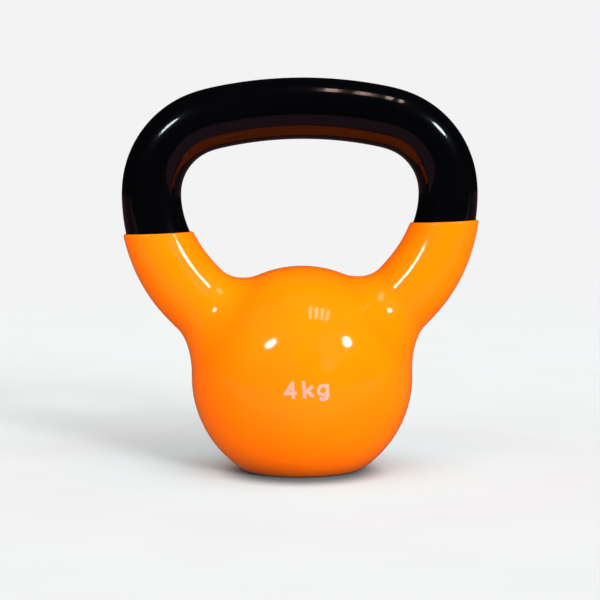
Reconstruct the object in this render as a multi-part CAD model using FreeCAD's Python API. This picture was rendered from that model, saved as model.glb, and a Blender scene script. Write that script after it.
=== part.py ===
"""A 4 kg vinyl-dipped kettlebell.

One grey-iron casting makes the ball, the horns and the handle. A black vinyl sleeve is dipped over
the handle, and an orange vinyl jacket is then dipped over the ball, the horns and the sleeve's two
ends. The mass is printed on the front of the jacket.

Millimetres, +Z up. The handle runs across X, and the printed mark faces -Y. The origin is the centre
of the flat base, on the surface that the kettlebell stands on.
"""

import FreeCAD, Part
import math
import os

from FreeCAD import Matrix, Rotation, Vector

# Vinyl thicknesses. The jacket's is measured from the iron, so it includes the sleeve where they lap.
JACKET_THICKNESS = 2.4
SLEEVE_THICKNESS = 1.1
SLEEVE_LAP = 8.0
LIP_RADIUS = 0.9

# Ball of the casting. The base's edge radius is the same on the iron and on the jacket.
BALL_RADIUS = 46.0
BALL_CENTRE_Z = 40.7
BASE_EDGE_RADIUS = 6.0
HORN_FILLET_RADIUS = 12.5

# Half of the handle's centre line, from the middle of the grip down to a point inside the ball:
# a shallow arch, a corner, the horn's curve and a straight run. Turns are in degrees.
GRIP_CENTRE_Z = 157.7
ARCH_RADIUS, ARCH_TURN = 175.0, 13.0
CORNER_RADIUS, CORNER_TURN = 32.7, 77.0
HORN_RADIUS, HORN_TURN = 62.2, 45.0
HORN_RUN = 22.0
BLEND_LENGTH = 12.0  # each change of radius is spread over this length

# Diameters of the casting's oval section: width lies in the handle's plane, depth across it.
GRIP_WIDTH, GRIP_DEPTH = 24.4, 24.4
SIDE_WIDTH, SIDE_DEPTH = 23.6, 23.6
ROOT_WIDTH, ROOT_DEPTH = 27.0, 31.0

# Upper edge of the jacket. It is level with the vinyl bath, in which the kettlebell hung askew.
DIP_LINE_Z = 106.1
DIP_LINE_SLOPE = 1.7

# Printed mark, "4 kg", in plain strokes. It runs uphill to the right.
INK_THICKNESS = 0.15
MARK_HEIGHT = 7.3
SMALL_HEIGHT = 5.2
MARK_DESCENT = 1.9
MARK_STROKE = 1.45
MARK_SLOPE = 4.0
FOUR_WIDTH = 5.4
LETTER_WIDTH = 5.1
WORD_SPACE = 2.4
LETTER_SPACE = 0.8

# Where the strokes meet, as shares of a character's width or height. The tail's end is in degrees.
FOUR_STEM_ACROSS = 0.72
FOUR_BAR_UP = 0.24
K_WAIST_UP = 0.38
K_LEG_ACROSS, K_LEG_UP = 0.40, 0.55
G_TAIL_END = 215.0

# How finely the handle's surface is laid out.
STATION_SPACING = 6.0
STEPS_PER_STATION = 24

BIG = 400.0  # larger than the whole kettlebell, for cutting tools
ON_PLANE = 0.01  # a point this near a plane lies in it


def ease(share):
    """A smooth step from 0 to 1 as share goes from 0 to 1."""
    share = max(0.0, min(1.0, share))
    return share * share * (3.0 - 2.0 * share)


# ---- The handle's centre line and sections ----


def stretches():
    """(start, end, curvature) of each stretch of the half centre line, by length from the grip's middle."""
    found = []
    start = 0.0
    for radius, turn in (
        (ARCH_RADIUS, ARCH_TURN),
        (CORNER_RADIUS, CORNER_TURN),
        (HORN_RADIUS, HORN_TURN),
    ):
        end = start + radius * math.radians(turn)
        found.append((start, end, 1.0 / radius))
        start = end
    found.append((start, start + HORN_RUN, 0.0))
    return found


def curvature(distance):
    """Curvature at that distance from the grip's middle, averaged over BLEND_LENGTH."""
    low = distance - BLEND_LENGTH / 2.0
    high = distance + BLEND_LENGTH / 2.0
    total = 0.0
    for start, end, value in stretches():
        total += value * max(0.0, min(high, end) - max(low, start))
        total += value * max(0.0, min(high, -start) - max(low, -end))
    return total / BLEND_LENGTH


def half_stations():
    """(x, z, heading) along the right half. Heading 0 is along +X, and it grows as the line turns down."""
    length = stretches()[-1][1]
    count = round(length / STATION_SPACING)
    step = length / (count * STEPS_PER_STATION)
    x, z, heading = 0.0, GRIP_CENTRE_Z, 0.0
    found = [(x, z, heading)]
    for i in range(count * STEPS_PER_STATION):
        bend = curvature((i + 0.5) * step) * step
        x += math.cos(heading + bend / 2.0) * step
        z -= math.sin(heading + bend / 2.0) * step
        heading += bend
        if (i + 1) % STEPS_PER_STATION == 0:
            found.append((x, z, heading))
    return found


def half_sizes(heading):
    """Half the width and half the depth of the iron where the centre line has that heading."""
    turned = math.degrees(abs(heading))
    side_turn = ARCH_TURN + CORNER_TURN
    if turned < side_turn:
        share = ease(turned / side_turn)
        start, end = (GRIP_WIDTH, GRIP_DEPTH), (SIDE_WIDTH, SIDE_DEPTH)
    else:
        share = ease((turned - side_turn) / HORN_TURN)
        start, end = (SIDE_WIDTH, SIDE_DEPTH), (ROOT_WIDTH, ROOT_DEPTH)
    return [(a + (b - a) * share) / 2.0 for a, b in zip(start, end)]


def section(x, z, heading, skin):
    """The handle's oval section there, grown by skin. Its seam is at the back."""
    half_width, half_depth = half_sizes(heading)
    half_width += skin
    half_depth += skin
    along_x, along_z = math.cos(heading), -math.sin(heading)
    out_x, out_z = math.sin(heading), math.cos(heading)
    unit_circle = Part.Circle(Vector(0, 0, 0), Vector(0, 0, 1), 1.0).toShape()
    placed = Matrix(
        0.0, half_width * out_x, along_x, x,
        half_depth, 0.0, 0.0, 0.0,
        0.0, half_width * out_z, along_z, z,
        0.0, 0.0, 0.0, 1.0,
    )
    return Part.Wire(unit_circle.transformGeometry(placed).Edges)


def handle(skin):
    """The whole handle and both horns as one bar, with its ends inside the ball."""
    right = half_stations()
    left = [(-x, z, -heading) for x, z, heading in reversed(right[1:])]
    wires = [section(x, z, heading, skin) for x, z, heading in left + right]
    return Part.makeLoft(wires, True, False)


# ---- The ball, and the casting's outline grown by any thickness ----


def ball(skin):
    """The ball with its flat base, grown by skin, turned from a profile in the YZ plane."""
    radius = BALL_RADIUS + skin
    base_z = JACKET_THICKNESS - skin
    edge_y = math.sqrt(
        (radius - BASE_EDGE_RADIUS) ** 2 - (BALL_CENTRE_Z - base_z - BASE_EDGE_RADIUS) ** 2
    )
    edge_z = base_z + BASE_EDGE_RADIUS

    def on_ball(angle):
        return Vector(0, radius * math.cos(angle), BALL_CENTRE_Z + radius * math.sin(angle))

    def on_edge(angle):
        return Vector(
            0,
            edge_y + BASE_EDGE_RADIUS * math.cos(angle),
            edge_z + BASE_EDGE_RADIUS * math.sin(angle),
        )

    meet = math.atan2(edge_z - BALL_CENTRE_Z, edge_y)
    down, up = -math.pi / 2.0, math.pi / 2.0
    low, top = Vector(0, 0, base_z), on_ball(up)
    profile = [
        Part.LineSegment(low, on_edge(down)).toShape(),
        Part.Arc(on_edge(down), on_edge((down + meet) / 2.0), on_ball(meet)).toShape(),
        Part.Arc(on_ball(meet), on_ball((meet + up) / 2.0), top).toShape(),
        Part.LineSegment(top, low).toShape(),
    ]
    return Part.Face(Part.Wire(profile)).revolve(Vector(0, 0, 0), Vector(0, 0, 1), 360.0)


def outline(skin):
    """The casting's whole outline grown by skin, with the horns faired into the ball."""
    joined = ball(skin).fuse(handle(skin)).Solids[0]

    def is_horn_root(edge):
        kinds = {face.Surface.TypeId for face in joined.ancestorsOfType(edge, Part.Face)}
        return kinds == {"Part::GeomBSplineSurface", "Part::GeomSphere"}

    roots = [edge for edge in joined.Edges if is_horn_root(edge)]
    return joined.makeFillet(HORN_FILLET_RADIUS - skin, roots).Solids[0]


# ---- Vinyl ----


def above_dip_line(lowered=0.0):
    """A large block that fills everything above the dip line, or above that much below it."""
    block = Part.makeBox(BIG, BIG, BIG, Vector(-BIG / 2.0, -BIG / 2.0, 0.0))
    block.rotate(Vector(0, 0, 0), Vector(0, 1, 0), -DIP_LINE_SLOPE)
    block.translate(Vector(0, 0, DIP_LINE_Z - lowered))
    return block


def on_dip_line(point):
    """Whether a point lies in the plane of the dip line."""
    normal = Rotation(Vector(0, 1, 0), -DIP_LINE_SLOPE).multVec(Vector(0, 0, 1))
    return abs((point - Vector(0, 0, DIP_LINE_Z)).dot(normal)) < ON_PLANE


def sleeve_bar():
    """The sleeve's outer form, solid, down to its end under the jacket."""
    return handle(SLEEVE_THICKNESS).common(above_dip_line(SLEEVE_LAP))


def grip_sleeve(casting):
    """The black vinyl on the handle, down to its end under the jacket."""
    return sleeve_bar().cut(casting).Solids[0]


def rounded_lip(dipped):
    """The dipped form with the outer edges of both cut ends rounded."""
    edges = []
    for edge in dipped.Edges:
        along = (edge.FirstParameter, edge.LastParameter)
        if all(on_dip_line(point) for point in [edge.valueAt(at) for at in along] + [edge.CenterOfMass]):
            edges.append(edge)
    return dipped.makeFillet(LIP_RADIUS, edges)


def split_cut_ends(solid):
    """(faces in the plane of the dip line, all other faces) of a solid."""
    ends, others = [], []
    for face in solid.Faces:
        flat = face.Surface.TypeId == "Part::GeomPlane"
        (ends if flat and on_dip_line(face.CenterOfMass) else others).append(face)
    return ends, others


def vinyl_jacket(casting):
    """The orange vinyl on the ball and horns, with a rounded lip where it laps the sleeve.

    Its outside is the dipped form and its inside is the casting with the sleeve on it. A flat ring
    joins the two at the top of each horn.
    """
    outside = rounded_lip(outline(JACKET_THICKNESS).cut(above_dip_line()))
    inside = casting.fuse(sleeve_bar()).cut(above_dip_line())
    outer_ends, outer_faces = split_cut_ends(outside)
    inner_ends, inner_faces = split_cut_ends(inside)
    rings = []
    for outer in outer_ends:
        for inner in inner_ends:
            if inner.CenterOfMass.x * outer.CenterOfMass.x > 0:
                outer = outer.cut(inner)
        rings.extend(outer.Faces)
    faces = outer_faces + rings + [face.reversed() for face in inner_faces]
    shell = Part.makeShell(faces)
    shell.sewShape()
    return Part.makeSolid(shell)


# ---- The printed mark ----


def bar_stroke(start, end):
    """A straight stroke between two points of the mark's plane, as a flat face."""
    x0, z0 = start
    x1, z1 = end
    length = math.hypot(x1 - x0, z1 - z0)
    side_x = -(z1 - z0) / length * MARK_STROKE / 2.0
    side_z = (x1 - x0) / length * MARK_STROKE / 2.0
    corners = [
        Vector(x0 + side_x, 0, z0 + side_z),
        Vector(x1 + side_x, 0, z1 + side_z),
        Vector(x1 - side_x, 0, z1 - side_z),
        Vector(x0 - side_x, 0, z0 - side_z),
    ]
    return Part.Face(Part.makePolygon(corners + corners[:1]))


def arc_stroke(centre, radius, start, end):
    """A curved stroke about centre, from angle start to angle end in degrees, as a flat face."""

    def point(distance, degrees):
        angle = math.radians(degrees)
        return Vector(
            centre[0] + distance * math.cos(angle), 0, centre[1] + distance * math.sin(angle)
        )

    middle = (start + end) / 2.0
    inner, outer = radius - MARK_STROKE / 2.0, radius + MARK_STROKE / 2.0
    edges = [
        Part.Arc(point(inner, start), point(inner, middle), point(inner, end)).toShape(),
        Part.LineSegment(point(inner, end), point(outer, end)).toShape(),
        Part.Arc(point(outer, end), point(outer, middle), point(outer, start)).toShape(),
        Part.LineSegment(point(outer, start), point(inner, start)).toShape(),
    ]
    return Part.Face(Part.Wire(edges))


def numeral_four():
    """Strokes of the numeral, from the left end of its base line."""
    half = MARK_STROKE / 2.0
    stem_x = FOUR_WIDTH * FOUR_STEM_ACROSS
    bar_z = MARK_HEIGHT * FOUR_BAR_UP + half
    return [
        bar_stroke((stem_x, 0.0), (stem_x, MARK_HEIGHT)),
        bar_stroke((0.0, bar_z), (FOUR_WIDTH, bar_z)),
        bar_stroke((half, bar_z), (stem_x, MARK_HEIGHT - half)),
    ]


def letter_k():
    """Strokes of the small letter k, from the left end of its base line."""
    half = MARK_STROKE / 2.0
    right = LETTER_WIDTH - half
    waist = SMALL_HEIGHT * K_WAIST_UP
    leg_start = (LETTER_WIDTH * K_LEG_ACROSS, SMALL_HEIGHT * K_LEG_UP)
    return [
        bar_stroke((half, 0.0), (half, MARK_HEIGHT)),
        bar_stroke((half, waist), (right, SMALL_HEIGHT - half / 2.0)),
        bar_stroke(leg_start, (right, half / 2.0)),
    ]


def letter_g():
    """Strokes of the small letter g: a round bowl, a stem on its right and a tail below."""
    half = MARK_STROKE / 2.0
    radius = SMALL_HEIGHT / 2.0 - half
    centre = (SMALL_HEIGHT / 2.0, SMALL_HEIGHT / 2.0)
    stem_x = centre[0] + radius
    tail_z = half + radius - MARK_DESCENT
    return [
        arc_stroke(centre, radius, 0.0, 180.0),
        arc_stroke(centre, radius, 180.0, 360.0),
        bar_stroke((stem_x, tail_z), (stem_x, SMALL_HEIGHT)),
        arc_stroke((centre[0], tail_z), radius, G_TAIL_END, 360.0),
    ]


def printed(strokes, left):
    """The strokes as one film of ink on the front of the ball, starting at left across the mark."""
    shape = strokes[0].fuse(strokes[1:]).removeSplitter().extrude(Vector(0, -BIG, 0))
    shape.translate(Vector(left, 0, -MARK_HEIGHT / 2.0))
    shape.rotate(Vector(0, 0, 0), Vector(0, 1, 0), -MARK_SLOPE)
    shape.translate(Vector(0, 0, BALL_CENTRE_Z))
    centre = Vector(0, 0, BALL_CENTRE_Z)
    surface = BALL_RADIUS + JACKET_THICKNESS
    film = Part.makeSphere(surface + INK_THICKNESS, centre).cut(Part.makeSphere(surface, centre))
    return shape.common(film).removeSplitter()


def marks():
    """Each character of the mark by name, centred across the front."""
    pieces = [
        ("mark_numeral_four", numeral_four(), FOUR_WIDTH, WORD_SPACE),
        ("mark_letter_k", letter_k(), LETTER_WIDTH, LETTER_SPACE),
        ("mark_letter_g", letter_g(), SMALL_HEIGHT, 0.0),
    ]
    left = -sum(width + space for _, _, width, space in pieces) / 2.0
    found = {}
    for name, strokes, width, space in pieces:
        found[name] = printed(strokes, left)
        left += width + space
    return found


def main():
    casting = outline(0.0)
    sleeve = grip_sleeve(casting)
    jacket = vinyl_jacket(casting)
    nodes = {"iron_casting": casting, "grip_sleeve": sleeve, "vinyl_jacket": jacket}
    nodes.update(marks())
    os.makedirs("parts", exist_ok=True)
    for name, shape in nodes.items():
        shape.exportStep(f"parts/{name}.step")
        print(f"{name}: {len(shape.Solids)} solid, {shape.Volume / 1000.0:.2f} cm3, valid {shape.isValid()}")


main()
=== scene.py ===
"""A dipped-vinyl kettlebell on a plain pale floor, in metres, in the frame of its CAD model."""

import bmesh
import bpy
import math
import numpy as np
from mathutils import Matrix, Quaternion, Vector


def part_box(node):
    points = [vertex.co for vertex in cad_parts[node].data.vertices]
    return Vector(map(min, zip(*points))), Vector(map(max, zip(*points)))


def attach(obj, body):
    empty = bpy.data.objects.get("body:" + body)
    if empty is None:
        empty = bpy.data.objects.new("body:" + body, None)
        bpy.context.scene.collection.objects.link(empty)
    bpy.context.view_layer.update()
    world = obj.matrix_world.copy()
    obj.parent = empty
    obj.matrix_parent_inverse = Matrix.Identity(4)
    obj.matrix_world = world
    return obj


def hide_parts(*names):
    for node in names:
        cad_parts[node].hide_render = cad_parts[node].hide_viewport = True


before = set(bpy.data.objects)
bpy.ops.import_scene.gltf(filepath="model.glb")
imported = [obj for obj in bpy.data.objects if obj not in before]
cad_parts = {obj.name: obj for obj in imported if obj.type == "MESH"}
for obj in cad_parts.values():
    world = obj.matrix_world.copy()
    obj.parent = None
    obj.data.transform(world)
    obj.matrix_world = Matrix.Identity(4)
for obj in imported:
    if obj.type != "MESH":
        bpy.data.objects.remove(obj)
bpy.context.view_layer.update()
MM = 0.001

# ---- Sizes ----

# Read from the frame: the iron ball's radius and the thickness of both coats.
jacket_low, jacket_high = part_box("vinyl_jacket")
iron_low, iron_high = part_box("iron_casting")
_, sleeve_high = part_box("grip_sleeve")
BALL_RADIUS = (iron_high.y - iron_low.y) / 2
JACKET_THICKNESS = (jacket_high.y - jacket_low.y) / 2 - BALL_RADIUS
SLEEVE_THICKNESS = sleeve_high.z - iron_high.z

BALL_CENTRE = np.array([0.0, 0.0, 40.7 * MM])
BASE_EDGE_RADIUS = 6.0 * MM
HORN_FILLET_RADIUS = 12.5 * MM
LIP_RADIUS = 0.9 * MM

# Half of the handle's centre line, as in the CAD model: (radius, turn in degrees) of each bend.
BENDS = ((175.0 * MM, 13.0), (32.7 * MM, 77.0), (62.2 * MM, 45.0))
HORN_RUN = 22.0 * MM
BLEND_LENGTH = 12.0 * MM

# Width and depth of the casting's oval section at the middle of the grip, at its sides where the
# centre line has turned straight down, and at the horns' roots.
GRIP_SIZE, SIDE_SIZE, ROOT_SIZE = (
    np.array(pair) * MM for pair in ((24.4, 24.4), (23.6, 23.6), (27.0, 31.0))
)
SIDE_TURN = BENDS[0][1] + BENDS[1][1]
ROOT_TURN = SIDE_TURN + BENDS[2][1]
GRIP_CENTRE_Z = iron_high.z - GRIP_SIZE[0] / 2

DIP_LINE_Z = 106.1 * MM
DIP_LINE_SLOPE = math.radians(1.7)
DIP_NORMAL = np.array([-math.sin(DIP_LINE_SLOPE), 0.0, math.cos(DIP_LINE_SLOPE)])
SLEEVE_LAP = 8.0 * MM
SLEEVE_SHORT = 1.0 * MM  # how far the sleeve's end stops short of the bottom of the lap
PRESSED_IN = 0.05 * MM
INNER_SKIN = SLEEVE_THICKNESS - PRESSED_IN  # the jacket's inside, pressed into the sleeve it covers

# How finely the two coats are meshed. Rings are counted along the handle, the horns and the ball.
ROUND = 180  # mesh points round the handle and the horns
JACKET_RINGS = (26, 16, 60)  # down a horn, round its fillet, and over half of the ball
INSIDE_RINGS = (7, 6, 18)  # the same, inside the jacket
SLEEVE_RINGS, SLEEVE_INSIDE_RINGS = 100, 30  # along half of the handle
LIP_REACHES = (1.3, 0.9, 0.6, 0.3, 0.0)  # places across the lip and down from it, in lip radii
LIP_INNERMOST = 0.95  # the most of the way across the lip that such a place may be
BELOW_LIP = 2.0  # where the lip's rings end, in lip radii
OVER_SLEEVE = (0.0, 0.35, 0.7)  # places up the lap, as shares of it
CLEAR_OF_FILLET = 0.5 * MM  # how far outside the fillet the rings of the horn and the ball stop

# Where a ring's points are looked for: how many places are tried along a horn, round the ball and along
# the handle, and how far from the horn's root, in radians, the tries round the ball start.
HORN_TRIES, BALL_TRIES, DIP_TRIES = 400, 400, 800
INSIDE_HORN = 0.15

POINTS_AT_ONCE = 4000  # keeps the search for the nearest point of the centre line small
SAME_PLACE = 0.001 * MM  # two mesh points this near each other are one
PROBE = 0.05 * MM  # how far to each side of a point its surface's slope is measured


def ease(share):
    """A smooth step from 0 to 1 as share goes from 0 to 1."""
    share = np.clip(share, 0.0, 1.0)
    return share * share * (3.0 - 2.0 * share)


# ---- The shape as distances: each function gives how far points lie outside a surface ----


def centre_line(step=0.25 * MM):
    """Points along the right half of the handle's centre line, from the middle of the grip downwards."""
    ends = np.cumsum([radius * math.radians(turn) for radius, turn in BENDS] + [HORN_RUN])
    starts = np.concatenate([[0.0], ends[:-1]])
    curvatures = [1.0 / radius for radius, _ in BENDS] + [0.0]
    count = round(ends[-1] / step)
    step = ends[-1] / count
    along = (np.arange(count) + 0.5) * step
    low, high = along - BLEND_LENGTH / 2, along + BLEND_LENGTH / 2
    mean = np.zeros(count)
    for start, end, value in zip(starts, ends, curvatures):
        mean += value * np.clip(np.minimum(high, end) - np.maximum(low, start), 0, None)
        mean += value * np.clip(np.minimum(high, -start) - np.maximum(low, -end), 0, None)
    bend = mean / BLEND_LENGTH * step
    heading = np.concatenate([[0.0], np.cumsum(bend)])
    middle = heading[:-1] + bend / 2
    x = np.concatenate([[0.0], np.cumsum(np.cos(middle) * step)])
    z = GRIP_CENTRE_Z - np.concatenate([[0.0], np.cumsum(np.sin(middle) * step)])
    return {"along": np.arange(count + 1) * step, "x": x, "z": z, "heading": heading}


LINE = centre_line()


def half_sizes(heading):
    """Half the width and half the depth of the iron where the centre line has that heading."""
    turned = np.degrees(np.abs(heading))[..., None]
    grip = GRIP_SIZE + (SIDE_SIZE - GRIP_SIZE) * ease(turned / SIDE_TURN)
    root = SIDE_SIZE + (ROOT_SIZE - SIDE_SIZE) * ease((turned - SIDE_TURN) / (ROOT_TURN - SIDE_TURN))
    both = np.where(turned < SIDE_TURN, grip, root) / 2
    return both[..., 0], both[..., 1]


def from_bar(points, skin):
    """Distance from the handle's bar, grown by skin."""
    across, up = np.abs(points[:, 0]), points[:, 2]
    nearest = np.empty(len(points), int)
    for start in range(0, len(points), POINTS_AT_ONCE):
        part = slice(start, start + POINTS_AT_ONCE)
        gap = (across[part, None] - LINE["x"]) ** 2 + (up[part, None] - LINE["z"]) ** 2
        nearest[part] = gap.argmin(1)
    heading = LINE["heading"][nearest]
    out = (across - LINE["x"][nearest]) * np.sin(heading) + (up - LINE["z"][nearest]) * np.cos(heading)
    half_width, half_depth = half_sizes(heading)
    away = np.hypot(out, points[:, 1])
    outside = 1.0 - 1.0 / np.hypot(out / (half_width + skin), points[:, 1] / (half_depth + skin))
    end_x, end_z, end_heading = (LINE[key][-1] for key in ("x", "z", "heading"))
    past_end = (across - end_x) * math.cos(end_heading) - (up - end_z) * math.sin(end_heading)
    return np.maximum(away * outside, past_end)


def from_ball(points, skin):
    """Distance from the ball with its flat base and rounded base edge, grown by skin."""
    radius = BALL_RADIUS + skin
    base_z = JACKET_THICKNESS - skin
    edge_z = base_z + BASE_EDGE_RADIUS
    edge_r = math.sqrt((radius - BASE_EDGE_RADIUS) ** 2 - (BALL_CENTRE[2] - edge_z) ** 2)
    meet = math.atan2(edge_z - BALL_CENTRE[2], edge_r)
    r, z = np.hypot(points[:, 0], points[:, 1]), points[:, 2]
    sphere = np.hypot(r, z - BALL_CENTRE[2]) - radius
    angle = np.arctan2(z - edge_z, r - edge_r)
    edge = np.hypot(r - edge_r, z - edge_z) - BASE_EDGE_RADIUS
    on_base = (r < edge_r) & (z < edge_z)
    on_edge = (angle > -math.pi / 2) & (angle < meet) & ~on_base
    return np.where(on_base, base_z - z, np.where(on_edge, edge, sphere))


def above_dip(points):
    """Distance above the plane of the dip line."""
    return (points - np.array([0.0, 0.0, DIP_LINE_Z])) @ DIP_NORMAL


def joined(first, second, radius):
    """Two shapes joined, with a fillet of that radius in the corner between them."""
    corner = np.hypot(np.maximum(radius - first, 0.0), np.maximum(radius - second, 0.0))
    return np.maximum(radius, np.minimum(first, second)) - corner


def from_outline(points, skin):
    """Distance from the casting's outline grown by skin, with the horns faired into the ball."""
    return joined(from_bar(points, skin), from_ball(points, skin), HORN_FILLET_RADIUS - skin)


def from_jacket(points):
    """Distance from the jacket's outside: the outline cut off at the dip line, with a rounded lip."""
    return -joined(-from_outline(points, JACKET_THICKNESS), -above_dip(points), LIP_RADIUS)


def settled(points, distance, rounds=6, least_steepness=0.25):
    """The points moved on to the surface where that distance is 0, each straight along its slope."""
    shape, flat = points.shape, points.reshape(-1, 3).copy()
    for _ in range(rounds):
        here = distance(flat)
        slope = np.empty_like(flat)
        for axis in range(3):
            offset = np.zeros(3)
            offset[axis] = PROBE
            slope[:, axis] = (distance(flat + offset) - distance(flat - offset)) / (2 * PROBE)
        slope /= np.maximum((slope**2).sum(1, keepdims=True), least_steepness)
        flat -= slope * here[:, None]
    return flat.reshape(shape)


# ---- Rings of mesh points, all with ROUND points and all starting on the outer side of the bend ----

ANGLE = np.arange(ROUND) * 2 * math.pi / ROUND

# The horn's root, where the centre line crosses the ball: its place on the line, the direction to it
# from the ball's centre, and the direction across that one in the handle's plane.
ROOT = np.argmin(np.abs(np.hypot(LINE["x"], LINE["z"] - BALL_CENTRE[2]) - BALL_RADIUS))
ROOT_OUT = np.array([LINE["x"][ROOT], 0.0, LINE["z"][ROOT]]) - BALL_CENTRE
ROOT_OUT /= np.linalg.norm(ROOT_OUT)
ROOT_SIDE = np.array([ROOT_OUT[2], 0.0, -ROOT_OUT[0]])


def on_bar(along, skin, side):
    """Points on the bar grown by skin, at those distances along the centre line. side is 1 or -1 in X."""
    x, z, heading = (np.interp(along, LINE["along"], LINE[key]) for key in ("x", "z", "heading"))
    half_width, half_depth = half_sizes(heading)
    out = (half_width + skin) * np.cos(ANGLE)
    across = side * (x + out * np.sin(heading))
    deep = (half_depth + skin) * np.sin(ANGLE)
    up = z + out * np.cos(heading)
    return np.stack([across, deep, up], axis=-1)


def on_ball(turned, skin, side):
    """Points on the round part of the ball grown by skin, turned by those angles from the horn's root."""
    round_root = np.cos(ANGLE)[:, None] * ROOT_SIDE + np.sin(ANGLE)[:, None] * np.array([0.0, 1.0, 0.0])
    facing = np.cos(turned)[:, None] * ROOT_OUT + np.sin(turned)[:, None] * round_root
    return (BALL_CENTRE + facing * (BALL_RADIUS + skin)) * np.array([side, 1.0, 1.0])


def reached(points_at, distance, tries, value=0.0):
    """For each point of a ring, the first of the tries, in order, at which its distance falls to value."""
    far = np.stack([distance(points_at(np.full(ROUND, at))) for at in tries]) - value
    first = np.argmax(far <= 0, axis=0)
    column = np.arange(ROUND)
    before, after = far[first - 1, column], far[first, column]
    share = before / (before - after)
    return tries[first - 1] + (tries[first] - tries[first - 1]) * share


def between(first, last, shares):
    """Values from first to last, one ring for each share."""
    return [first + (last - first) * share for share in shares]


def even(count):
    """Shares from 0 to 1, without the 0."""
    return np.arange(1, count + 1) / count


def body_rings(start, skin, side, counts):
    """Rings down a horn from start (distances along it), round its fillet and over half of the ball."""
    clear = HORN_FILLET_RADIUS - skin + CLEAR_OF_FILLET
    tries = np.linspace(start.min(), LINE["along"][-1], HORN_TRIES)
    foot = reached(lambda at: on_bar(at, skin, side), lambda p: from_ball(p, skin), tries, clear)
    middle = np.arctan2(ROOT_OUT[0], -np.cos(ANGLE) * ROOT_SIDE[0])
    tries = np.linspace(INSIDE_HORN, math.pi, BALL_TRIES)
    collar = reached(lambda at: on_ball(at, skin, side), lambda p: -from_bar(p, skin), tries, -clear)
    on_horn = [on_bar(at, skin, side) for at in between(start, foot, even(counts[0]))]
    over = [on_ball(at, skin, side) for at in between(collar, middle, even(counts[2]))]
    corner = between(on_horn[-1], on_ball(collar, skin, side), even(counts[1]))
    rings = settled(np.stack(on_horn + corner + over), lambda p: from_outline(p, skin))
    rings[-1][:, 0] = 0.0
    return list(rings)


def dip_edge(skin, side):
    """How far along the centre line each point round the bar grown by skin crosses the dip line."""
    tries = np.linspace(0.0, LINE["along"][-1], DIP_TRIES)
    return reached(lambda at: on_bar(at, skin, side), above_dip, tries)


def lip_rings(edge, side):
    """Rings over the jacket's lip: from the sleeve, out along the flat top and round the edge."""
    outer = on_bar(edge, JACKET_THICKNESS, side)
    inner = on_bar(dip_edge(INNER_SKIN, side), INNER_SKIN, side)
    across = np.linalg.norm(inner - outer, axis=1, keepdims=True)
    inwards = [np.minimum(reach * LIP_RADIUS / across, LIP_INNERMOST) for reach in LIP_REACHES]
    flat = [outer + (inner - outer) * share for share in inwards]
    reaches = LIP_REACHES[-2::-1] + (BELOW_LIP,)
    down = [on_bar(edge + reach * LIP_RADIUS, JACKET_THICKNESS, side) for reach in reaches]
    return [inner] + list(settled(np.stack(flat + down), from_jacket))


def inner_rings(edge, side):
    """Rings up the jacket's inside: over half of the iron ball, up the horn, and over the sleeve's end."""
    lap = edge + SLEEVE_LAP
    over_sleeve = [on_bar(at, INNER_SKIN, side) for at in between(lap, edge, OVER_SLEEVE)]
    return body_rings(lap, 0.0, side, INSIDE_RINGS)[::-1] + [on_bar(lap, 0.0, side)] + over_sleeve


def shell_mesh(name, strips, closed=False):
    """One smooth closed mesh of four-sided faces from strips of rings.

    closed joins each strip's two ends. Otherwise the strips' ends meet each other.
    """
    vertices = np.concatenate([np.concatenate(rings) for rings in strips])
    faces = []
    first = 0
    for rings in strips:
        count = len(rings)
        for i in range(count if closed else count - 1):
            here, there = first + i * ROUND, first + (i + 1) % count * ROUND
            for j in range(ROUND):
                k = (j + 1) % ROUND
                faces.append((here + j, here + k, there + k, there + j))
        first += count * ROUND
    mesh = bpy.data.meshes.new(name)
    mesh.from_pydata(vertices.tolist(), [], faces)
    built = bmesh.new()
    built.from_mesh(mesh)
    bmesh.ops.remove_doubles(built, verts=built.verts, dist=SAME_PLACE)
    bmesh.ops.recalc_face_normals(built, faces=built.faces)
    for face in built.faces:
        face.smooth = True
    built.to_mesh(mesh)
    built.free()
    piece = bpy.data.objects.new(name, mesh)
    bpy.context.scene.collection.objects.link(piece)
    return piece


def make_jacket():
    """The orange jacket as one shell: its inside, its lip and its outside, both halves meeting at X = 0."""
    strips = []
    for side in (1.0, -1.0):
        edge = dip_edge(JACKET_THICKNESS, side)
        start = edge + BELOW_LIP * LIP_RADIUS
        outside = body_rings(start, JACKET_THICKNESS, side, JACKET_RINGS)
        strips.append(inner_rings(edge, side) + lip_rings(edge, side) + outside)
    return shell_mesh("jacket_skin", strips)


def make_sleeve():
    """The black sleeve as one shell over the whole handle, with both ends under the jacket."""
    lap = SLEEVE_LAP - SLEEVE_SHORT
    left_end, right_end = (dip_edge(SLEEVE_THICKNESS, side) + lap for side in (-1.0, 1.0))
    middle = np.zeros(ROUND)

    def rings(skin, count):
        left = [on_bar(at, skin, -1.0) for at in between(left_end, middle, np.arange(count) / count)]
        right = [on_bar(at, skin, 1.0) for at in between(middle, right_end, np.arange(count + 1) / count)]
        return left + right

    outside, inside = rings(SLEEVE_THICKNESS, SLEEVE_RINGS), rings(0.0, SLEEVE_INSIDE_RINGS)
    return shell_mesh("sleeve_skin", [outside + inside[::-1]], closed=True)


jacket = make_jacket()
sleeve = make_sleeve()
for piece, node, slot in (
    (jacket, "vinyl_jacket", "orange_vinyl"),
    (sleeve, "grip_sleeve", "black_vinyl"),
):
    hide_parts(node)
    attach(piece, "root")


# ---- Materials, all procedural, in the piece's own coordinates (metres) ----

# The sockets of a Mix node that mixes colours. The others have the same names.
MIX_COLOUR_INPUTS, MIX_COLOUR_OUTPUT = (0, 6, 7), 2

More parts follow.
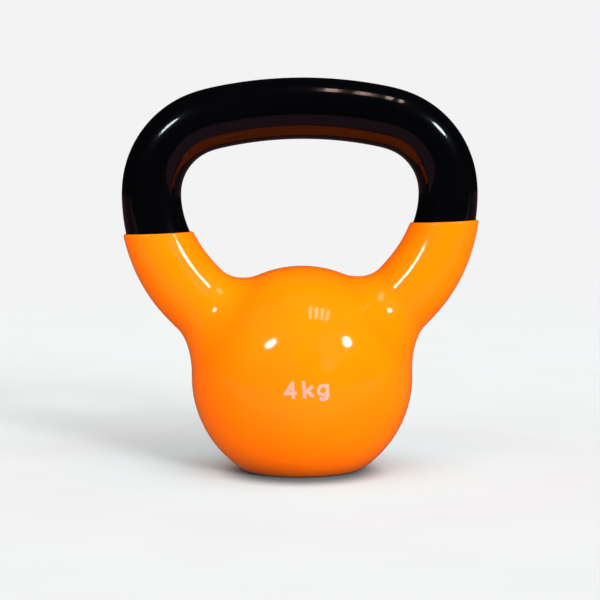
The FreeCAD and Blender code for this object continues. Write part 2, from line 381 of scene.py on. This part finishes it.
# Colours are linear.
ORANGE, ORANGE_PALE, ORANGE_DUSTY = (0.95, 0.141, 0.0002), (0.97, 0.150, 0.0003), (0.98, 0.18, 0.006)
ORANGE_SCUFFED = (0.50, 0.085, 0.008)
BLACK, BLACK_PALE, BLACK_DUSTY = (0.0003, 0.0004, 0.0007), (0.0007, 0.0007, 0.0011), (0.008, 0.007, 0.008)
INK, INK_THIN = (0.93, 0.245, 0.195), (0.94, 0.19, 0.08)
IRON, IRON_RUSTY = (0.045, 0.043, 0.042), (0.075, 0.052, 0.042)

# The least and the most roughness of each material.
ORANGE_ROUGHNESS, BLACK_ROUGHNESS = (0.07, 0.10), (0.05, 0.09)
INK_ROUGHNESS, IRON_ROUGHNESS = (0.50, 0.68), (0.50, 0.75)

NOISE_SPREAD = (0.3, 0.7)  # nearly all of a noise's values lie between these
SCUFF_HEIGHT = 3.0 * MM  # how far up from the base the jacket is scuffed
SCUFF_ROUGHNESS = 0.4  # added to the gloss where the jacket is scuffed


class Nodes:
    """Builds the nodes of one material or world."""

    def __init__(self, owner):
        owner.use_nodes = True
        self.tree = owner.node_tree
        self.tree.nodes.clear()

    def give(self, socket, value):
        """Gives an input its value: a link, a number, or a colour's three numbers."""
        if isinstance(value, bpy.types.NodeSocket):
            self.tree.links.new(value, socket)
        elif socket.type == "RGBA":
            socket.default_value = (*value, 1.0)
        else:
            socket.default_value = value

    def add(self, kind, **settings):
        """A node of that kind. A setting is the input of that name, or else the node's own property."""
        node = self.tree.nodes.new(kind)
        for name, value in settings.items():
            socket = node.inputs.get(name.replace("_", " "))
            if socket is None:
                setattr(node, name, value)
            else:
                self.give(socket, value)
        return node

    def place(self):
        """The point on the piece."""
        return self.add("ShaderNodeTexCoord").outputs["Object"]

    def noise(self, size, detail=2.0, stretch=(1.0, 1.0, 1.0)):
        """Noise from 0 to 1 whose blotches are about that size in metres, stretched along each axis."""
        at = self.add("ShaderNodeMapping", Vector=self.place(), Scale=[1.0 / s for s in stretch])
        node = self.add("ShaderNodeTexNoise", Vector=at.outputs[0], Scale=1.0 / size, Detail=detail)
        return node.outputs[0]

    def ranged(self, value, low, high, to_low=0.0, to_high=1.0):
        """A value from low..high moved smoothly to to_low..to_high."""
        return self.add(
            "ShaderNodeMapRange",
            interpolation_type="SMOOTHSTEP",
            Value=value,
            From_Min=low,
            From_Max=high,
            To_Min=to_low,
            To_Max=to_high,
        ).outputs[0]

    def math(self, operation, *values):
        """The result of that operation on the values."""
        node = self.add("ShaderNodeMath", operation=operation)
        for socket, value in zip(node.inputs, values):
            self.give(socket, value)
        return node.outputs[0]

    def mixed(self, share, first, second):
        """first and second colours mixed by share, each a link or three numbers."""
        node = self.add("ShaderNodeMix", data_type="RGBA")
        for number, value in zip(MIX_COLOUR_INPUTS, (share, first, second)):
            self.give(node.inputs[number], value)
        return node.outputs[MIX_COLOUR_OUTPUT]

    def apart(self, centre=(0.0, 0.0, 0.0)):
        """How far the point on the piece is from that centre."""
        node = self.add("ShaderNodeVectorMath", operation="DISTANCE", Vector=self.place())
        node.inputs[1].default_value = centre
        return node.outputs["Value"]

    def bump(self, height, depth, normal=None):
        """A bump of that height from 0 to 1, that deep in metres, on top of a coarser one's normal."""
        node = self.add("ShaderNodeBump", Height=height, Distance=depth, Strength=1.0)
        if normal is not None:
            self.tree.links.new(normal, node.inputs["Normal"])
        return node.outputs[0]

    def either(self, share, first, second):
        """first and second shaders mixed by share."""
        node = self.add("ShaderNodeMixShader", Fac=share)
        self.tree.links.new(first.outputs[0], node.inputs[1])
        self.tree.links.new(second.outputs[0], node.inputs[2])
        return node

    def finish(self, shader, kind="ShaderNodeOutputMaterial"):
        """Sends the shader out as the material's or the world's surface."""
        self.add(kind, Surface=shader.outputs[0])


def orange_vinyl():
    """Smooth dipped vinyl: slow waves, a slightly uneven gloss, faint flow marks and scuffs underneath."""
    material = bpy.data.materials.new("orange_vinyl")
    nodes = Nodes(material)
    cloudy = nodes.ranged(nodes.noise(22 * MM, 3.0), *NOISE_SPREAD)
    colour = nodes.mixed(cloudy, ORANGE, ORANGE_PALE)
    flow = nodes.ranged(nodes.noise(2.2 * MM, 2.0, (1.0, 1.0, 7.0)), 0.52, 0.8, 0.0, 0.25)
    colour = nodes.mixed(flow, colour, ORANGE_PALE)
    dust = nodes.ranged(nodes.noise(0.45 * MM, 1.0), 0.76, 0.84, 0.0, 0.35)
    colour = nodes.mixed(dust, colour, ORANGE_DUSTY)
    height_up = nodes.add("ShaderNodeSeparateXYZ", Vector=nodes.place()).outputs["Z"]
    low_down = nodes.ranged(height_up, 0.0, SCUFF_HEIGHT, 1.0, 0.0)
    scuffs = nodes.ranged(nodes.noise(1.6 * MM, 5.0, (2.5, 1.0, 1.0)), 0.50, 0.70, 0.0, 0.5)
    scuffed = nodes.math("MULTIPLY", low_down, scuffs)
    colour = nodes.mixed(scuffed, colour, ORANGE_SCUFFED)
    gloss = nodes.ranged(nodes.noise(9 * MM, 4.0), *NOISE_SPREAD, *ORANGE_ROUGHNESS)
    roughness = nodes.math("MULTIPLY_ADD", scuffed, SCUFF_ROUGHNESS, gloss)
    waves = nodes.bump(nodes.noise(9 * MM, 1.0), 0.015 * MM)
    grain = nodes.bump(nodes.noise(0.7 * MM, 2.0), 0.0022 * MM, waves)
    worn = nodes.bump(scuffed, 0.03 * MM, grain)
    nodes.finish(
        nodes.add(
            "ShaderNodeBsdfPrincipled",
            Base_Color=colour,
            Roughness=roughness,
            Normal=worn,
            Specular_IOR_Level=0.25,
        )
    )
    return material


def black_vinyl():
    """Near-black dipped vinyl, a little coarser, with fine grain and dust."""
    material = bpy.data.materials.new("black_vinyl")
    nodes = Nodes(material)
    cloudy = nodes.ranged(nodes.noise(18 * MM, 3.0), *NOISE_SPREAD)
    colour = nodes.mixed(cloudy, BLACK, BLACK_PALE)
    dust = nodes.ranged(nodes.noise(0.5 * MM, 1.0), 0.74, 0.84, 0.0, 0.5)
    colour = nodes.mixed(dust, colour, BLACK_DUSTY)
    roughness = nodes.ranged(nodes.noise(5 * MM, 5.0), *NOISE_SPREAD, *BLACK_ROUGHNESS)
    waves = nodes.bump(nodes.noise(8 * MM, 1.0), 0.025 * MM)
    grain = nodes.bump(nodes.noise(1.1 * MM, 3.0), 0.010 * MM, waves)
    nodes.finish(
        nodes.add(
            "ShaderNodeBsdfPrincipled",
            Base_Color=colour,
            Roughness=roughness,
            Normal=grain,
            Specular_IOR_Level=0.22,
            Coat_Weight=0.04,
            Coat_Roughness=0.3,
        )
    )
    return material


def mark_ink():
    """Thin pinkish-white screen ink that lets the orange through where it is thin."""
    material = bpy.data.materials.new("mark_ink")
    nodes = Nodes(material)
    thin = nodes.ranged(nodes.noise(0.8 * MM, 4.0), 0.42, 0.66, 0.0, 0.75)
    colour = nodes.mixed(thin, INK, INK_THIN)
    roughness = nodes.ranged(nodes.noise(0.5 * MM, 3.0), *NOISE_SPREAD, *INK_ROUGHNESS)
    bump = nodes.bump(nodes.noise(0.35 * MM, 2.0), 0.01 * MM)
    nodes.finish(
        nodes.add("ShaderNodeBsdfPrincipled", Base_Color=colour, Roughness=roughness, Normal=bump)
    )
    return material


def cast_iron():
    """Rough sand-cast iron, inside the two coats."""
    material = bpy.data.materials.new("cast_iron")
    nodes = Nodes(material)
    sandy = nodes.noise(1.1 * MM, 6.0)
    colour = nodes.mixed(nodes.ranged(sandy, *NOISE_SPREAD), IRON, IRON_RUSTY)
    roughness = nodes.ranged(nodes.noise(2.5 * MM, 4.0), *NOISE_SPREAD, *IRON_ROUGHNESS)
    nodes.finish(
        nodes.add(
            "ShaderNodeBsdfPrincipled",
            Base_Color=colour,
            Roughness=roughness,
            Normal=nodes.bump(sandy, 0.25 * MM),
            Metallic=0.85,
        )
    )
    return material


jacket.data.materials.append(orange_vinyl())
sleeve.data.materials.append(black_vinyl())
ink = mark_ink()
finishes = {
    "mark_numeral_four": ink,
    "mark_letter_k": ink,
    "mark_letter_g": ink,
    "iron_casting": cast_iron(),
}
for name, material in finishes.items():
    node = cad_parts[name]
    node.data.materials.clear()
    node.data.materials.append(material)

# ---- Floor and backdrop: one plain pale surface ----

BACKDROP = (0.896, 0.896, 0.896)
FLOOR_SIZE = 8.0
BACKDROP_REACH = (0.45, 1.3)  # the floor turns into the backdrop between these distances
FLOOR_COLOUR, FLOOR_PALE = (0.419, 0.427, 0.430), (0.427, 0.436, 0.439)

# Near the object the floor is painted cooler, to cancel the orange light it picks up, and a painted contact
# shadow makes it dark close round the base.
FLOOR_COOL, COOL_REACH = (0.424, 0.482, 0.490), (0.05, 0.13)
FLOOR_PAINTED_SHADOW, PAINTED_SHADOW_CENTRE, PAINTED_SHADOW_REACH = (0.12, 0.155, 0.16), (0.0, -0.012, 0.0), (0.020, 0.040)

# What the gloss sees of the floor, a painted glow for gloss rays only: dark far in front, a lit strip in
# front, and dim round the object, reddish as a painted reflection of the orange light bounced there.
FLOOR_GLOSS_DARK, FLOOR_GLOSS_LIT = (0.02, 0.015, 0.025), (0.42, 0.20, 0.27)
FLOOR_GLOSS = (0.11, 0.05, 0.055)
LIT_FRONT, LIT_BACK = (-0.355, -0.335), (-0.09, -0.06)  # across the two edges of the lit strip, in Y


def floor_colour(nodes):
    """The pale floor's colour, painted cooler near the object against the orange light it picks up, with a
    painted contact shadow close round its base.
    """
    mottled = nodes.ranged(nodes.noise(60 * MM, 3.0), *NOISE_SPREAD)
    colour = nodes.mixed(mottled, FLOOR_COLOUR, FLOOR_PALE)
    # Painted cooler near the object, against the orange light bounced on it.
    colour = nodes.mixed(nodes.ranged(nodes.apart(), *COOL_REACH), FLOOR_COOL, colour)
    # Painted contact shadow: the floor's colour darkened close round the base.
    return nodes.mixed(nodes.ranged(nodes.apart(PAINTED_SHADOW_CENTRE), *PAINTED_SHADOW_REACH), FLOOR_PAINTED_SHADOW, colour)


def floor_in_gloss(nodes):
    """The floor's brightness as the object's gloss sees it: a painted glow that stands in for the floor's
    reflection.
    """
    depth = nodes.add("ShaderNodeSeparateXYZ", Vector=nodes.place()).outputs["Y"]
    front = nodes.mixed(nodes.ranged(depth, *LIT_FRONT), FLOOR_GLOSS_DARK, FLOOR_GLOSS_LIT)
    return nodes.mixed(nodes.ranged(depth, *LIT_BACK), front, FLOOR_GLOSS)


def pale_floor():
    """A pale floor that takes the object's shadow, and turns into the backdrop further away."""
    material = bpy.data.materials.new("pale_floor")
    nodes = Nodes(material)
    near = nodes.add("ShaderNodeBsdfDiffuse", Color=floor_colour(nodes))
    far = nodes.add("ShaderNodeEmission", Color=BACKDROP)
    seen = nodes.either(nodes.ranged(nodes.apart(), *BACKDROP_REACH), near, far)
    # A painted glow that only gloss rays see, standing in for the floor's reflection.
    reflected = nodes.add("ShaderNodeEmission", Color=floor_in_gloss(nodes))
    in_gloss = nodes.add("ShaderNodeLightPath").outputs["Is Glossy Ray"]
    nodes.finish(nodes.either(in_gloss, seen, reflected))
    return material


def make_floor():
    """The floor, level with the bottom of the base."""
    built = bmesh.new()
    bmesh.ops.create_grid(built, x_segments=16, y_segments=16, size=FLOOR_SIZE)
    mesh = bpy.data.meshes.new("floor")
    built.to_mesh(mesh)
    built.free()
    mesh.materials.append(pale_floor())
    floor = bpy.data.objects.new("floor", mesh)
    bpy.context.scene.collection.objects.link(floor)


# ---- Light: broad lights for the colours, and small lamps that only the gloss shows ----

WORLD_LIGHT, WORLD_GLOSS = 0.6, 0.01
LAMP_DISTANCE, LAMP_COLOUR = 2.0, (0.82, 0.96, 1.0)
TUBE_COUNT = 4
TUBE_WIDTH, TUBE_LENGTH, TUBE_SPACING, TUBE_POWER = 0.085, 0.55, 0.19, 2.6
TUBE_COLOUR = (1.0, 0.66, 0.58)
TUBES_X, TUBES_Y, TUBES_Z = 0.54, -0.58, 2.06


def make_world():
    """Even white light from all round, faint in the gloss so that the colours stay deep."""
    world = bpy.data.worlds.new("studio")
    bpy.context.scene.world = world
    nodes = Nodes(world)
    path = nodes.add("ShaderNodeLightPath").outputs
    lit = nodes.math("MULTIPLY_ADD", path["Is Glossy Ray"], WORLD_GLOSS - WORLD_LIGHT, WORLD_LIGHT)
    seen = nodes.math("MULTIPLY_ADD", path["Is Camera Ray"], BACKDROP[0] - WORLD_LIGHT, lit)
    background = nodes.add("ShaderNodeBackground", Color=(1.0, 1.0, 1.0), Strength=seen)
    nodes.finish(background, "ShaderNodeOutputWorld")


def broad_light(name, toward, strength, angle, shadow=True):
    """A broad soft light from that direction, angle degrees across. It is kept out of the gloss."""
    data = bpy.data.lights.new(name, "SUN")
    data.energy, data.angle, data.use_shadow = strength, math.radians(angle), shadow
    light = bpy.data.objects.new(name, data)
    light.rotation_mode = "QUATERNION"
    light.rotation_quaternion = Vector(toward).to_track_quat("Z", "Y")
    light.visible_glossy = False
    bpy.context.scene.collection.objects.link(light)


def softbox(name, toward, across, power, turned=0.0):
    """An oval lamp in that direction from the ball, seen in the gloss only. across is in degrees."""
    data = bpy.data.lights.new(name, "AREA")
    data.shape = "ELLIPSE"
    data.size, data.size_y = (2 * LAMP_DISTANCE * math.tan(math.radians(angle / 2)) for angle in across)
    data.energy, data.color = power, LAMP_COLOUR
    light = bpy.data.objects.new(name, data)
    toward = Vector(toward).normalized()
    light.location = Vector(BALL_CENTRE) + toward * LAMP_DISTANCE
    light.rotation_mode = "QUATERNION"
    light.rotation_quaternion = toward.to_track_quat("Z", "Y") @ Quaternion((0, 0, 1), math.radians(turned))
    light.visible_camera = light.visible_diffuse = False
    bpy.context.scene.collection.objects.link(light)


def ceiling_tubes():
    """Four long tubes side by side overhead, a little to the front and right, in the gloss only."""
    for number in range(TUBE_COUNT):
        data = bpy.data.lights.new(f"tube_{number + 1}", "AREA")
        data.shape, data.size, data.size_y = "RECTANGLE", TUBE_WIDTH, TUBE_LENGTH
        data.energy, data.color = TUBE_POWER, TUBE_COLOUR
        light = bpy.data.objects.new(data.name, data)
        from_middle = number - (TUBE_COUNT - 1) / 2
        light.location = (TUBES_X + from_middle * TUBE_SPACING, TUBES_Y, TUBES_Z)
        light.visible_camera = light.visible_diffuse = False
        bpy.context.scene.collection.objects.link(light)


make_floor()
make_world()

# Each broad light: its direction, strength and width in degrees.
broad_light("key", (0.50, -0.62, 0.60), 1.2, 34.0)
broad_light("low_key", (0.43, -0.84, 0.34), 3.4, 16.0)
broad_light("overhead", (0.05, -0.10, 1.0), 2.6, 100.0)
broad_light("fill", (-0.55, -0.75, 0.30), 1.0, 60.0, shadow=False)

# Each lamp: its direction, size in degrees, power in watts and turn in degrees.
softbox("softbox_right", (0.674, -0.472, 0.569), (9.8, 9.0), 16.0, 60.0)
softbox("softbox_left", (-0.521, -0.609, 0.599), (12.0, 7.2), 13.5, 48.0)
ceiling_tubes()

# ---- Camera ----

CAMERA_DISTANCE, CAMERA_HEIGHT = 0.79, 0.1336
CAMERA_ROUND, CAMERA_ASIDE = 2.0, 0.04  # degrees, both to the object's left
CAMERA_DOWN, CAMERA_ROLL = 4.306, -0.586  # degrees
CAMERA_LENS, CAMERA_SENSOR = 108.5, 36.0  # mm


def make_camera():
    """The camera in front of the object, a little to its left and above it."""
    data = bpy.data.cameras.new("camera")
    data.lens, data.sensor_width = CAMERA_LENS, CAMERA_SENSOR
    camera = bpy.data.objects.new("camera", data)
    swing = math.radians(CAMERA_ROUND)
    camera.location = (
        -CAMERA_DISTANCE * math.sin(swing),
        -CAMERA_DISTANCE * math.cos(swing),
        CAMERA_HEIGHT,
    )
    turned = Matrix.Rotation(math.radians(CAMERA_ASIDE - CAMERA_ROUND), 3, "Z")
    tipped = Matrix.Rotation(math.radians(90.0 - CAMERA_DOWN), 3, "X")
    rolled = Matrix.Rotation(math.radians(CAMERA_ROLL), 3, "Z")
    camera.rotation_mode = "QUATERNION"
    camera.rotation_quaternion = (turned @ tipped @ rolled).to_quaternion()
    bpy.context.scene.collection.objects.link(camera)
    bpy.context.scene.camera = camera


make_camera()
bpy.context.scene.view_settings.view_transform = "Standard"
